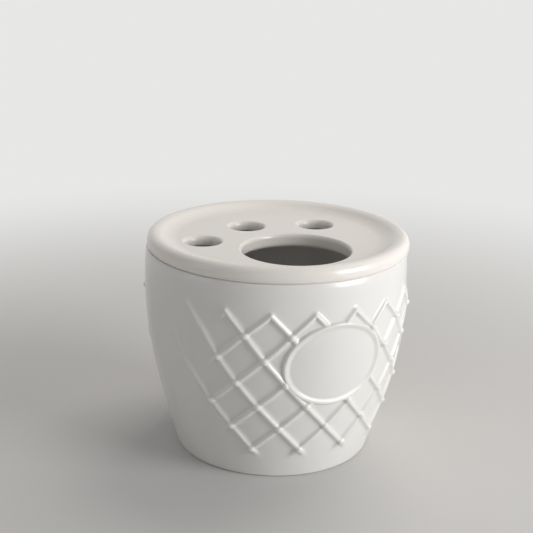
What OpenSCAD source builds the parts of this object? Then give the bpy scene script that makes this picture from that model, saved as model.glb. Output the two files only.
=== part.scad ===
// Toothbrush holder: a tapered ceramic cup with a raised lattice and a bare oval medallion,
// and a loose round lid with three small holes and one large opening.
// Millimetres. The origin is the middle of the foot, +Z is up, and the medallion faces -Y.

/* [Cup] */
// Height of the cup, from the foot to the rim that the lid rests on
cup_h = 88.5; // [86:0.5:110]
// Radius of the cup at its foot
foot_r = 42.5; // [38:0.1:50]
// Radius of the cup where it is widest
belly_r = 55.9; // [54:0.1:62]
// Height at which the cup is widest
belly_z = 74; // [66:0.5:84]
// Thickness of the wall
wall = 4.8; // [3.5:0.1:6]
// Thickness of the floor
floor_t = 6; // [4:0.1:9]
// Rounding of the rim's outer edge
rim_edge = 0.9; // [0.4:0.1:1.2]
// Rounding of the rim's inner edge
mouth_edge = 1.2; // [0.4:0.1:1.5]
// Rounding where the wall meets the foot
foot_edge = 1.4; // [0.5:0.1:2.5]
// Width of the ring that the cup stands on
foot_ring_w = 5; // [3:0.1:9]
// Depth of the recess inside that ring
foot_recess = 1.2; // [0.5:0.1:2]
// Rounding between the wall and the floor inside
inner_edge = 5; // [2:0.5:9]

/* [Lattice] */
// Distance from the cup's rim down to the lattice's peaks
lattice_gap = 10.6; // [9:0.1:14]
// Height of the lowest row of crossings above the foot
lattice_foot = 14.7; // [13:0.1:19]
// Distance round the wall between two crossings of one row, half way down the lattice
pitch = 18.2; // [15:0.1:19]
// How much wider the lattice is at its foot than at its peaks, as a share of the pitch
spread_share = 0.1; // [0:0.01:0.2]
// Width of a rib where it leaves the wall
rib_w = 3.2; // [1.6:0.1:3.6]
// Width of a rib's flat crown
rib_crown = 1.2; // [0.6:0.1:1.5]
// How far a rib stands out of the wall
rib_h = 1.1; // [0.6:0.05:1.8]
// Diameter of the bead on a crossing
bead_d = 3.8; // [2.4:0.1:4.4]
// How far a bead stands out of the wall
bead_h = 1.8; // [1.2:0.05:2.6]

/* [Medallion] */
// Width of the oval medallion, measured round the wall
medallion_w = 44.8; // [28:0.2:47]
// Height of the oval medallion
medallion_h = 36.6; // [24:0.2:40]
// Distance from the cup's rim down to the medallion's middle
medallion_drop = 34.6; // [30:0.1:40]
// Distance round the wall from the lattice's middle to the medallion's, to the right if above zero
medallion_side = 1.7; // [-3:0.1:3]
// Width of the medallion's raised rim
medal_rim_w = 3.2; // [1.6:0.1:4]
// How far the medallion's rim stands out of the wall
medal_rim_h = 1.1; // [0.8:0.05:2]
// How far the medallion's field stands out of the wall
medal_field_h = 0.4; // [0.2:0.05:0.7]

/* [Lid] */
// Height of the lid above the cup's rim
lid_h = 6.4; // [5.6:0.1:9]
// How far the lid's edge stands out past the cup's rim
lid_overhang = 0.2; // [0:0.05:2]
// Rounding of the lid's upper edge
lid_edge = 3.3; // [2:0.1:4.5]
// Rounding of the lid's lower edge
lid_under_edge = 1.8; // [0.3:0.1:2]
// Rounding of the border's crest on the side of the field
crest_edge = 6; // [3:0.1:7]
// Depth of the sunk field below the crest of the border
field_depth = 3.2; // [1.5:0.1:4.5]
// Width of the slope from the crest down to the field
border_run = 10; // [8:0.1:11]
// Thickness of the field
plate_t = 4.4; // [3.6:0.1:5]
// Depth of the plug, and of the collar round the large opening, below the cup's rim
plug_h = 2.9; // [2:0.1:5]
// Width of the plug's ring
plug_w = 5.8; // [5:0.1:8]
// Width of the collar round the large opening
collar_w = 4; // [3.8:0.1:6]
// How far the loose lid has slid off the cup's middle
lid_slip = 1; // [0:0.1:1.8]
// Direction that it has slid in, from the +X axis
lid_slip_to = -73; // [-180:1:180]
// Clearance left between the lid's plug and the inside of the cup on that side
plug_gap = 0.5; // [0.4:0.1:1.5]
// Rounding of the plug's lower edge
plug_edge = 1; // [0.4:0.1:1.4]
// Turn of the lid on its seat, from the middle of the medallion
lid_turn = 7.1; // [-30:0.1:30]

/* [Holes] */
// Diameter of the small holes
hole_d = 14.5; // [11:0.1:16]
// Rounding of the small holes' upper edges
hole_edge = 1.3; // [0.5:0.1:2]
// Diameter of the large opening
opening_d = 44.2; // [34:0.2:46]
// Rounding of the large opening's upper edge
opening_edge = 1.4; // [0.5:0.1:2.4]
// Rounding of the lower edges of all four
hole_under_edge = 0.8; // [0.4:0.1:1.4]
// Distance from the middle of the lid to the middle of the large opening
opening_off = 18.2; // [14:0.1:19]
// How far all four holes lie beside the middle of the lid, to the right if above zero
holes_side = -2.6; // [-3:0.1:3]
// Distance from the middle of the large opening to the middle of a small hole
hole_reach = 39.9; // [37:0.1:42]
// Angle between two small holes, seen from the middle of the large opening
hole_step = 45.1; // [30:0.1:50]

/* [Hidden] */
cup_glaze = [0.93, 0.94, 0.94];
lid_glaze = [0.95, 0.94, 0.92];
$fn = 96;

// Rows of crossings under the peaks, half pitches from the middle of the panel to its sides and to
// its last beads, and row and half pitches together where the panel's lower corners are cut off
rows = 6;
columns = 8;
last_bead = 5;
corner = 9;
// Half pitches over which a rib grows shallow where the mould parts, and past the last bead
side_fade = 1.5;
end_fade = 0.5;

lattice_top = cup_h - lattice_gap;
row_drop = (lattice_top - lattice_foot) / rows;
medallion_z = cup_h - medallion_drop;

// Every cut runs this far past the face that it leaves by
overrun = 1;
// Straight steps that stand for a quarter round, for the wall's curve and for the medallion's oval
edge_steps = 6;
wall_steps = 22;
oval_steps = 60;

// Where the relief's hidden back narrows to a point, as shares of the foot's radius and the height
tip_shares = [0.33, 0.5];
relief_tip = [0, -foot_r * tip_shares[0], cup_h * tip_shares[1]];

// The medallion's rim from its outer edge up to its crest, and from there down to the field, as
// shares of its width and of its rise
outer_shares = [[0.08, 0.5], [0.2, 0.88], [0.36, 1]];
inner_shares = [[0.58, 0.95], [0.8, 0.4], [1, 0]];
// Rings of the medallion's field, as shares of its half width and half height
field_shares = [0.8, 0.6, 0.4, 0.2];

// Outer radius of the wall at height z: a sine from the foot to the belly, and on past it to the rim
function wall_r(z) = foot_r + (belly_r - foot_r) * sin(90 * z / belly_z);

rim_r = wall_r(cup_h);
mouth_r = rim_r - wall;
lid_r = rim_r + lid_overhang;
plug_r = mouth_r - lid_slip - plug_gap;
crest_z = cup_h + lid_h;
crest_r = lid_r - lid_edge;
field_z = crest_z - field_depth;
under_z = field_z - plate_t;
plug_z = cup_h - plug_h;

// The point of the wall at height z that lies a distance s round it from the medallion's middle,
// lifted off the wall by lift
function wall_point(s, z, lift = 0) =
    let (r = wall_r(z), a = s / r * 180 / PI)
    [(r + lift) * sin(a), -(r + lift) * cos(a), z];

// A part of a circle as points
function arc(centre, r, from, to) =
    [for (i = [0:edge_steps]) let (a = from + (to - from) * i / edge_steps)
        centre + r * [cos(a), sin(a)]];

// Points of the wall's curve between two heights, moved inwards by inset
function wall_curve(z0, z1, inset = 0) =
    [for (i = [0:wall_steps]) let (z = z0 + (z1 - z0) * i / wall_steps) [wall_r(z) - inset, z]];

// The cup without its hollow
module cup_blank() {
    rotate_extrude() polygon(concat(
        [[0, 0]],
        arc([wall_r(foot_edge) - foot_edge, foot_edge], foot_edge, -90, 0),
        wall_curve(foot_edge, cup_h - rim_edge),
        arc([wall_r(cup_h - rim_edge) - rim_edge, cup_h - rim_edge], rim_edge, 0, 90),
        [[0, cup_h]]
    ));
}

// The hollow, with a rounded floor corner and a rounded mouth
module cup_hollow() {
    corner_z = floor_t + inner_edge;
    corner_r = wall_r(corner_z) - wall;
    lip_z = cup_h - mouth_edge;
    lip_r = wall_r(lip_z) - wall;
    rotate_extrude() polygon(concat(
        [[0, floor_t]],
        arc([corner_r - inner_edge, corner_z], inner_edge, -90, 0),
        wall_curve(corner_z, lip_z, wall),
        arc([lip_r + mouth_edge, lip_z], mouth_edge, 180, 90),
        [[lip_r + mouth_edge, cup_h + overrun], [0, cup_h + overrun]]
    ));
}

// The recess that leaves a ring to stand on
module foot_hollow() {
    ring_r = wall_r(foot_edge) - foot_edge - foot_ring_w;
    rotate_extrude() polygon([
        [0, -overrun], [ring_r, -overrun], [ring_r, 0],
        [ring_r - foot_recess, foot_recess], [0, foot_recess]
    ]);
}

// The lattice is laid out on two families of falling lines: along a line of the first family u
// grows and v stays, along one of the second v shrinks and u stays. Crossings have whole numbers.
// A row is counted down from the peaks, and a column counts half a pitch from the middle.
function row_of(u, v) = u - v + 1;
function column_of(u, v) = u + v;

// The point of the wall on the lattice's row k and column m, lifted off it by lift
function lattice_point(k, m, lift) =
    let (widened = 1 + spread_share * (k - rows / 2) / rows)
    wall_point(m * widened * pitch / 2, lattice_top - k * row_drop, lift);

// Lengths along a line as shares of the way from one crossing to the next
half_step = norm([pitch / 2, row_drop]);
sink = rib_h / 2;
crown_share = rib_crown / 2 / half_step;
root_share = (rib_w / 2 + (rib_w - rib_crown) / 2 * sink / rib_h) / half_step;
bead_share = bead_d / 2 / half_step;
near_share = crown_share / 4;

// Where the rib along line v starts and ends, from the edges of the panel
function rib_from(v) = max(v - 1, -columns - v);
function rib_to(v) = min(columns - v, v + rows - 1, (corner - 1) / 2);

// 1 on the crown of a rib of the first family, and 0 beside it or past its ends
function on_rib(u, v) =
    let (line = round(v), from = rib_from(line), to = rib_to(line))
    abs(v - line) < crown_share + near_share && from < to && abs(line) < corner / 2 &&
    u > from - crown_share - near_share && u < to + root_share + near_share ? 1 : 0;

// A rib of the first family rises to the left, where it grows shallow as the mould parts, and falls
// to the right, where it ends at the last bead
function fade(u, v) =
    let (m = column_of(u, v))
    max(0, min(1, (columns + m) / side_fade, (last_bead + end_fade - m) / end_fade));

// Extra height of the bead on the nearest crossing, with none on the peaks and at the sides
function bead(u, v) =
    let (cu = round(u), cv = round(v), k = row_of(cu, cv), m = abs(column_of(cu, cv)),
        far = norm([u - cu, v - cv]) / bead_share)
    k > 0 && k <= rows && m <= last_bead && m + k <= corner && far < 1
        ? (bead_h - rib_h) * (1 - far * far) : 0;

// Height of the relief above the wall, which is less than zero between the ribs
function relief(u, v) =
    (sink + rib_h) * max(on_rib(u, v) * fade(u, v), on_rib(-v, -u) * fade(-v, -u)) - sink + bead(u, v);

// One side's lattice as a solid: its outer face follows the ribs and runs inside the wall between
// them, and its sides narrow to one point inside the cup
module lattice() {
    last = (corner - 1) / 2;
    lines = concat([-last - 0.5], [for (i = [-last:last])
        for (s = [-root_share, -crown_share, 0, crown_share, root_share, 0.5]) i + s]);
    n = len(lines);
    mid = [for (i = [0:n - 2]) (lines[i] + lines[i + 1]) / 2];
    function used(i, j) =
        i >= 0 && j >= 0 && i < n - 1 && j < n - 1 &&
        row_of(mid[i], mid[j]) > -0.5 && row_of(mid[i], mid[j]) < rows + 1 &&
        abs(column_of(mid[i], mid[j])) < columns &&
        abs(column_of(mid[i], mid[j])) + row_of(mid[i], mid[j]) < corner + 1;
    points = concat(
        [for (u = lines) for (v = lines)
            lattice_point(row_of(u, v), column_of(u, v), relief(u, v))],
        [relief_tip]
    );
    tip = n * n;
    faces = [for (i = [0:n - 2]) for (j = [0:n - 2]) if (used(i, j))
        let (a = i * n + j, b = a + 1, c = b + n, d = a + n)
        each concat(
            [[a, b, c], [a, c, d]],
            used(i - 1, j) ? [] : [[b, a, tip]],
            used(i, j + 1) ? [] : [[c, b, tip]],
            used(i + 1, j) ? [] : [[d, c, tip]],
            used(i, j - 1) ? [] : [[a, d, tip]]
        )];
    polyhedron(points, faces);
}

// A point of the medallion's oval at angle t, moved inwards by inset, drawn in to a share of its
// distance from the middle, and lifted off the wall
function oval_point(t, inset, lift, share = 1) =
    let (
        w = medallion_w / 2, h = medallion_h / 2,
        inwards = [h * cos(t), w * sin(t)] / norm([h * cos(t), w * sin(t)]),
        p = share * ([w * cos(t), h * sin(t)] - inset * inwards)
    )
    wall_point(medallion_side + p.x, medallion_z + p.y, lift);

// The medallion as a solid: a raised rim round a bare field that follows the wall, with a back that
// narrows to one point inside the cup
module medallion() {
    rise = medal_rim_h - medal_field_h;
    rings = concat(
        [[0, -sink, 1]],
        [for (q = outer_shares) [q[0] * medal_rim_w, q[1] * medal_rim_h, 1]],
        [for (q = inner_shares) [q[0] * medal_rim_w, medal_field_h + q[1] * rise, 1]],
        [for (q = field_shares) [medal_rim_w, medal_field_h, q]]
    );
    n = oval_steps;
    last = len(rings) - 1;
    points = concat(
        [for (q = rings) for (i = [0:n - 1]) oval_point(i * 360 / n, q[0], q[1], q[2])],
        [wall_point(medallion_side, medallion_z, medal_field_h), relief_tip]
    );
    middle = len(points) - 2;
    tip = len(points) - 1;
    faces = [for (i = [0:n - 1]) let (k = (i + 1) % n)
        each concat(
            [[i, k, tip], [last * n + k, last * n + i, middle]],
            [for (j = [0:last - 1]) each [
                [j * n + k, j * n + i, (j + 1) * n + k],
                [j * n + i, (j + 1) * n + i, (j + 1) * n + k]
            ]]
        )];
    polyhedron(points, faces);
}

// Everything in front of the medallion's field, as seen from the front
module medallion_clearing() {
    inside = medal_rim_w / 2;
    rotate([90, 0, 0]) linear_extrude(height = belly_r + rib_h + bead_h)
        polygon([for (i = [0:oval_steps - 1])
            let (p = oval_point(i * 360 / oval_steps, inside, 0)) [p.x, p.z]]);
}

module cup() {
    color(cup_glaze) difference() {
        union() {
            cup_blank();
            difference() {
                lattice();
                medallion_clearing();
            }
            rotate([0, 0, 180]) lattice();
            medallion();
        }
        cup_hollow();
        foot_hollow();
    }
}

// The lid without its holes: a rounded border, an even slope of two arcs down to the sunk field,
// and below it a ring, the plug, that keeps the lid in place inside the cup's mouth
module lid_blank() {
    tilt = 2 * atan(field_depth / border_run);
    cove = border_run / sin(tilt) - crest_edge;
    rotate_extrude() polygon(concat(
        [[0, under_z], [plug_r - plug_w, under_z], [plug_r - plug_w, plug_z]],
        arc([plug_r - plug_edge, plug_z + plug_edge], plug_edge, -90, 0),
        [[plug_r, cup_h]],
        arc([lid_r - lid_under_edge, cup_h + lid_under_edge], lid_under_edge, -90, 0),
        arc([crest_r, crest_z - lid_edge], lid_edge, 0, 90),
        arc([crest_r, crest_z - crest_edge], crest_edge, 90, 90 + tilt),
        arc([crest_r - border_run, field_z + cove], cove, tilt - 90, -90),
        [[0, field_z]]
    ));
}

// What is cut away for one hole, from its lower end at height low, with both edges rounded
module hole(d, edge, low) {
    r = d / 2;
    rotate_extrude() polygon(concat(
        [[0, low - overrun], [r + hole_under_edge, low - overrun]],
        arc([r + hole_under_edge, low + hole_under_edge], hole_under_edge, -90, -180),
        arc([r + edge, field_z - edge], edge, 180, 90),
        [[r + edge, crest_z + overrun], [0, crest_z + overrun]]
    ));
}

// The loose lid as it lies on the cup, turned and slid a little off the middle. The large opening
// has a collar under the field, as deep as the plug.
module lid() {
    slip = lid_slip * [cos(lid_slip_to), sin(lid_slip_to), 0];
    opening_at = [holes_side, -opening_off, 0];
    color(lid_glaze) translate(slip) rotate([0, 0, lid_turn]) difference() {
        union() {
            lid_blank();
            translate(opening_at + [0, 0, plug_z])
                cylinder(h = (under_z + field_z) / 2 - plug_z, r = opening_d / 2 + collar_w);
        }
        translate(opening_at) {
            hole(opening_d, opening_edge, plug_z);
            for (a = [-hole_step, 0, hole_step])
                rotate([0, 0, a]) translate([0, hole_reach, 0]) hole(hole_d, hole_edge, under_z);
        }
    }
}

cup();
lid();
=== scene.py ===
# %% [markdown]
# # A glazed toothbrush holder
# The holder is a round cup of white glazed ceramic with a raised diamond lattice and a bare oval
# medallion, closed by a loose lid with four holes. The measured solids come in first, as a fixed
# frame. Each visible skin is then built again with far more points, because a glaze shows every
# facet in its reflections.

# %% The measured solids
import math

import bpy
import numpy as np
from mathutils import Matrix, Vector
from mathutils.geometry import delaunay_2d_cdt


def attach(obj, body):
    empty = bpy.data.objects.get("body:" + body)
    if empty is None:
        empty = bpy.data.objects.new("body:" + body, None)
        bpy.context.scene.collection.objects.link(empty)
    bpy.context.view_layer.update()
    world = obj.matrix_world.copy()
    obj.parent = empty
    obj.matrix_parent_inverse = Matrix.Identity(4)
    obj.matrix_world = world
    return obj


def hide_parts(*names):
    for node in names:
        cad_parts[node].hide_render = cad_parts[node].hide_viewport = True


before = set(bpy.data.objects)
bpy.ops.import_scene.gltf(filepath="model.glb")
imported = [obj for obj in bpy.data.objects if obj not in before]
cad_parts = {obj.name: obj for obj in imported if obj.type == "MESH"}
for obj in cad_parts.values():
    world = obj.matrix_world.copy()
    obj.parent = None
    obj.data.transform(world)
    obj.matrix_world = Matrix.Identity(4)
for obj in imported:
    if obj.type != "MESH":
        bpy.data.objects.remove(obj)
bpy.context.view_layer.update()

MM = 0.001

# %% [markdown]
# ## The shape of the wall
# A cup thrown or cast like this one has a single curve from foot to rim. Here it is a quarter of a
# sine from the foot to the belly, which then runs on past its top and draws the rim in a little.
# Every other piece asks this one function where the wall is, so nothing can drift away from it.

# %% Sizes of the cup
CUP_H, FOOT_R, BELLY_R, BELLY_Z = 88.5 * MM, 42.5 * MM, 55.9 * MM, 74 * MM
WALL, FLOOR = 4.8 * MM, 6 * MM
RIM_EDGE, MOUTH_EDGE, FOOT_EDGE, INNER_EDGE = 0.9 * MM, 1.2 * MM, 1.4 * MM, 5 * MM
FOOT_RING, FOOT_RECESS = 5 * MM, 1.2 * MM


def wall_radius(z):
    """Outer radius of the wall at height z."""
    return FOOT_R + (BELLY_R - FOOT_R) * np.sin(np.pi / 2 * z / BELLY_Z)


def on_wall(turn, z, lift=0.0):
    """The point of the wall at a turn (radians from the middle of the front) and a height."""
    r = wall_radius(z) + lift
    return (r * math.sin(turn), -r * math.cos(turn), z)


print("rim radius mm:", round(wall_radius(CUP_H) / MM, 2))

# %% [markdown]
# ## The lattice laid out flat
# The ribs are two families of parallel lines. Along a line of the first family u grows and v stays
# a whole number, and along one of the second it is the other way round, so ribs cross where both
# are whole. The wall's mesh is laid on these two directions too: its edges then run along the ribs
# and a few close lines on each side are enough to draw a clean rounded rib. An ordinary grid round
# the cup would cut the ribs at a slant and leave them jagged. The real lattice isn't quite even: its
# left half bows aside half way down, and only the placing of the points knows of that.

# %% Sizes of the lattice
ROWS, COLUMNS = 6, 8          # rows under the peaks, and half pitches from the middle to the sides
LAST_LEFT, LAST_RIGHT = 5, 6  # the outermost columns with beads
CORNER = 9                    # row plus column at the cut corners
BACK_TURN = math.pi + math.radians(5.5)   # from the middle of the front panel to that of the back one
LATTICE_TOP, LATTICE_FOOT = CUP_H - 10.6 * MM, 14.7 * MM
PITCH, SPREAD = 18.2 * MM, 0.1   # between two crossings of a row, and its growth from top to foot
ROW_DROP = (LATTICE_TOP - LATTICE_FOOT) / ROWS
PEAK_SHARE = 0.82                # of a row, from the first beads up to the peaks
STEP = 2 * (PITCH / 2) * ROW_DROP / math.hypot(PITCH / 2, ROW_DROP)   # between two parallel ribs
print("row mm:", round(ROW_DROP / MM, 2), "distance between ribs mm:", round(STEP / MM, 2))

# %% From the lattice to the wall and back
BOW, BOW_ROWS = 2.4 * MM, 3.4    # the most that the left half bows, and the rows it takes to grow to that
BOW_START, BOW_END = -0.5, -5.5  # columns between which it grows


def half_pitch(row):
    """Distance round the wall from one column to the next, at a row."""
    return ((row - ROWS / 2) * (SPREAD / ROWS) + 1) * (PITCH / 2)


def bow(column, row):
    """How far round the wall the left half strays from an even lattice, most half way down."""
    share = np.clip((column - BOW_START) / (BOW_END - BOW_START), 0, 1)
    down = np.clip(1 - ((row - ROWS / 2) / BOW_ROWS) ** 2, 0, 1)
    return -BOW * share ** 2 * (3 - 2 * share) * down ** 2


def row_height(row):
    """Height of a row. The peaks, at row 0, stand less than a full row above the first beads."""
    return LATTICE_TOP - ROW_DROP * (row + (1 - PEAK_SHARE) * np.maximum(1 - row, 0))


def row_at(z):
    """The row at a height."""
    row = (LATTICE_TOP - z) / ROW_DROP
    return np.where(row > 1, row, 1 - (1 - row) / PEAK_SHARE)


def lattice_place(turn, z):
    """u and v at a turn from the middle of a panel and a height."""
    row = row_at(z)
    round_wall = turn * wall_radius(z)
    column = round_wall / half_pitch(row)
    for _ in range(6):      # the bow is small and gentle, so a few repeats find the column behind it
        column = (round_wall - bow(column, row)) / half_pitch(row)
    return (column + row - 1) / 2, (column - row + 1) / 2


def wall_turn(column, row):
    """The turn at which a place of the lattice stands, from the middle of its panel."""
    return (column * half_pitch(row) + bow(column, row)) / wall_radius(row_height(row))


u, v = lattice_place(wall_turn(-4.0, 3.0), row_height(3.0))
print("column -4, row 3, on the wall and back:", round(float(u + v), 6), round(float(u - v + 1), 6))

# %% Lines of the fine mesh
BESIDE = [0.16, 0.32, 0.48, 0.65, 0.84, 1.06, 1.34, 1.7, 2.15, 2.75, 3.5, 4.7]   # mm from a rib's middle
LINES_A_SIDE = 5                 # ribs on each side of the middle one
ABOVE, BELOW, ASIDE, CUT = 0.42, 0.62, 0.02, 0.72   # rows that the fine mesh has beyond the lattice


def in_panel(u, v):
    """True where the fine mesh of the lattice lies."""
    row, column = u - v + 1, abs(u + v)
    return ((row > -ABOVE) & (row < ROWS + BELOW) & (column < COLUMNS + ASIDE)
            & (column + row < CORNER + CUT))


beside = np.array(BESIDE) * MM / STEP
one_rib = np.concatenate(([-0.5], -beside[::-1], [0], beside))
LINES = (np.arange(-LINES_A_SIDE, LINES_A_SIDE + 1)[:, None] + one_rib).ravel()   # values of u, and of v
MIDDLES = (LINES[:-1] + LINES[1:]) / 2
print("lines each way:", len(LINES))

# %% Fine mesh of one panel
def panel_grid():
    """u and v of the points, the small squares between the lines, and the edges round them all."""
    n = len(LINES)
    used = in_panel(*np.meshgrid(MIDDLES, MIDDLES, indexing="ij"))
    keep = np.zeros((n, n), bool)
    for a, b in ((0, 0), (1, 0), (0, 1), (1, 1)):
        keep[a:n - 1 + a, b:n - 1 + b] |= used
    number = -np.ones((n, n), int)
    number[keep] = np.arange(keep.sum())
    i, j = np.nonzero(keep)
    squares, outline = [], []
    for a, b in zip(*np.nonzero(used)):
        # Seen from outside, +u falls to the right and +v rises to the right
        ring = [number[a, b], number[a + 1, b], number[a + 1, b + 1], number[a, b + 1]]
        squares.append(ring)
        for k, (da, db) in enumerate(((0, -1), (1, 0), (0, 1), (-1, 0))):
            if not (0 <= a + da < n - 1 and 0 <= b + db < n - 1 and used[a + da, b + db]):
                outline.append((ring[k], ring[(k + 1) % 4]))
    return LINES[i], LINES[j], squares, outline


panel_u, panel_v, panel_squares, panel_outline = panel_grid()
print("one panel:", len(panel_squares), "squares,", len(panel_outline), "edges round it")

# %% [markdown]
# ## One skin round the whole cup
# The rest of the wall is plain, so a coarse grid will do there. To join the fine panels to it
# without a visible seam, the wall is unrolled flat and the space between panel and grid is filled
# by a constrained Delaunay triangulation, which keeps the given outlines and makes well-shaped
# triangles in between. Laying a second skin over the first would be quicker, but the two would
# fight wherever they nearly touch.

# %% The wall as one mesh
AROUND, LEVELS = 180, 46      # coarse points round the wall and up it
FLAT_R = 50 * MM              # radius at which the wall is unrolled
CLEAR = 0.9 * MM              # the coarse points keep this far from the panels
SAME_POINT = 1e-6             # mm between two points that the triangulation joins


def panel_at(turn):
    """0 where the front panel is the nearer one and 1 where the back one is."""
    return 0 if turn < math.pi / 2 else 1


def triangles_between(places, edges):
    """Faces that fill a flat area and keep the given edges, as lists of indices. Places are in mm."""
    out = delaunay_2d_cdt([Vector(place) for place in places], edges, [], 0, SAME_POINT, True)
    return [[out[3][k][0] for k in face] for face in out[2]]


def turns_left(corners):
    """True for an outline of corners (x, y) drawn anticlockwise."""
    return sum(a[0] * b[1] - b[0] * a[1] for a, b in zip(corners, corners[1:] + corners[:1])) > 0


def flat_wall():
    """The wall's points as (turn, z, u, v), the faces between them, and its lowest and highest ring."""
    spots, faces, edges, grid = [], [], [], {}
    column, row = panel_u + panel_v, panel_u - panel_v + 1
    for side in (0, 1):
        start = len(spots)
        spots += zip(wall_turn(column, row) + side * BACK_TURN, row_height(row), panel_u, panel_v)
        faces += [[k + start for k in ring] for ring in panel_squares]
        edges += [(a + start, b + start) for a, b in panel_outline]
    border = sorted({k for e in edges for k in e})
    border_at = np.array([[spots[k][0] * FLAT_R, spots[k][1]] for k in border])
    last = LEVELS - 1
    for i in range(AROUND + 1):
        t = -math.pi / 2 + 2 * math.pi * i / AROUND
        for j, z in enumerate(np.linspace(FOOT_EDGE, CUP_H - RIM_EDGE, LEVELS)):
            u, v = lattice_place(t - panel_at(t) * BACK_TURN, z)
            near = np.hypot(*(border_at - [t * FLAT_R, z]).T).min()
            if i in (0, AROUND) or j in (0, last) or (not in_panel(u, v) and near > CLEAR):
                grid[i, j] = len(spots)
                spots.append((t, z, u, v))
    for i in range(AROUND):
        edges += [(grid[i, j], grid[i + 1, j]) for j in (0, last)]
    for j in range(last):
        edges += [(grid[i, j], grid[i, j + 1]) for i in (0, AROUND)]
    used = border + sorted(grid.values())
    place = {k: n for n, k in enumerate(used)}
    flat = [(spots[k][0] * FLAT_R / MM, spots[k][1] / MM) for k in used]
    for face in triangles_between(flat, [(place[a], place[b]) for a, b in edges]):
        ring = [used[k] for k in face]
        t, z = np.mean([spots[k][:2] for k in ring], axis=0)
        u, v = lattice_place(t - panel_at(t) * BACK_TURN, z)
        a, b = np.searchsorted(LINES, [u, v])
        inside = 0 < a < len(LINES) and 0 < b < len(LINES) and in_panel(MIDDLES[a - 1], MIDDLES[b - 1])
        if not inside:
            faces.append(ring if turns_left([spots[k] for k in ring]) else ring[::-1])
    # The first and the last column are the same line on the round wall
    same = {grid[AROUND, j]: grid[0, j] for j in range(LEVELS)}
    faces = [[same.get(k, k) for k in ring] for ring in faces]
    return spots, faces, [grid[i, 0] for i in range(AROUND)], [grid[i, last] for i in range(AROUND)]


wall = flat_wall()
print("wall:", len(wall[0]), "points,", len(wall[1]), "faces")

# %% [markdown]
# ## Rim, inside and foot
# These are plain turned surfaces, as on a potter's wheel: one profile, carried round in rings. Each
# ring has as many points as the wall's own edge, so the whole cup closes into one skin. A ring just
# beside each rounding keeps the flat places flat, because smooth shading would otherwise bend them.

# %% Rings of a turned surface
def arc(x, z, r, start, end, steps=8):
    """Points (radius, height) of a part of a circle, from one angle to another, without the first."""
    angles = [math.radians(start + (end - start) * k / steps) for k in range(1, steps + 1)]
    return [(x + r * math.cos(a), z + r * math.sin(a)) for a in angles]


def new_ring(points, r, z, n, centre=(0.0, 0.0), start=0.0):
    """Adds a ring of points that joins nothing yet, and returns their numbers."""
    angles = [start + 2 * math.pi * k / n for k in range(n)]
    points += [(centre[0] + r * math.cos(t), centre[1] + r * math.sin(t), z) for t in angles]
    return list(range(len(points) - n, len(points)))


def band(low, high):
    """Faces between two rings of equally many points."""
    n = len(low)
    return [[low[k], low[(k + 1) % n], high[(k + 1) % n], high[k]] for k in range(n)]


def turned(points, faces, ring, profile, start=0.0, centre=(0.0, 0.0), flip=False):
    """Carries a profile round as rings, joined to the given ring, and returns the last ring."""
    n = len(ring)
    for r, z in profile:
        if r == 0:
            points.append((centre[0], centre[1], z))
            tip = len(points) - 1
            fan = [[ring[k], ring[(k + 1) % n], tip] for k in range(n)]
            faces += [f[::-1] for f in fan] if flip else fan
            return [tip]
        new = new_ring(points, r, z, n, centre, start)
        faces += [f[::-1] for f in band(ring, new)] if flip else band(ring, new)
        ring = new
    return ring


print("a quarter round of the rim:", len(arc(0, 0, RIM_EDGE, 0, 90)), "points")

# %% The cup's skin
GUARD = 0.25 * MM                       # from a rounding to the ring that keeps a flat flat
INSIDE_LEVELS = 30
MIDDLE_RINGS = [20 * MM, 8 * MM, 0]     # of the two flat discs, down to the point in their middle
RECESS_SOFT, RECESS_BEVEL = 0.06 * MM, 0.3 * MM      # at the inner corner of the foot ring


def cup_skin():
    """The whole cup as points, faces and the lattice place (u, v, side) of each point."""
    spots, wall_faces, bottom, top = wall
    faces = list(wall_faces)
    points = [on_wall(t, z) for t, z, u, v in spots]
    lattice = [(u, v, 1.0 - 2.0 * panel_at(t)) for t, z, u, v in spots]
    start = -math.pi            # where the wall's first column stands
    edge_r = wall_radius(CUP_H - RIM_EDGE) - RIM_EDGE
    lip_z, corner_z = CUP_H - MOUTH_EDGE, FLOOR + INNER_EDGE
    lip_r, corner_r = wall_radius(lip_z) - WALL, wall_radius(corner_z) - WALL
    inside = [(wall_radius(z) - WALL, z) for z in np.linspace(lip_z, corner_z, INSIDE_LEVELS)[1:]]
    up = (arc(edge_r, CUP_H - RIM_EDGE, RIM_EDGE, 0, 90) + [(edge_r - GUARD, CUP_H)]
          + [(lip_r + MOUTH_EDGE + GUARD, CUP_H), (lip_r + MOUTH_EDGE, CUP_H)]
          + arc(lip_r + MOUTH_EDGE, lip_z, MOUTH_EDGE, 90, 180) + inside
          + arc(corner_r - INNER_EDGE, corner_z, INNER_EDGE, 0, -90, 10)
          + [(corner_r - INNER_EDGE - GUARD, FLOOR)] + [(r, FLOOR) for r in MIDDLE_RINGS])
    turned(points, faces, top, up, start)
    foot_r = wall_radius(FOOT_EDGE) - FOOT_EDGE
    ring_r = foot_r - FOOT_RING
    down = (arc(foot_r, FOOT_EDGE, FOOT_EDGE, 0, -90)
            + [(foot_r - GUARD, 0), (ring_r + GUARD, 0), (ring_r, RECESS_SOFT)]
            + [(ring_r - rise, rise) for rise in (RECESS_BEVEL, FOOT_RECESS)]
            + [(ring_r - FOOT_RECESS - GUARD, FOOT_RECESS)] + [(r, FOOT_RECESS) for r in MIDDLE_RINGS])
    turned(points, faces, bottom, down, start, flip=True)
    lattice += [(0.0, 0.0, 0.0)] * (len(points) - len(lattice))
    return points, faces, lattice


def new_object(name, data):
    """An object at the origin, in the scene."""
    obj = bpy.data.objects.new(name, data)
    bpy.context.scene.collection.objects.link(obj)
    return obj


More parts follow.
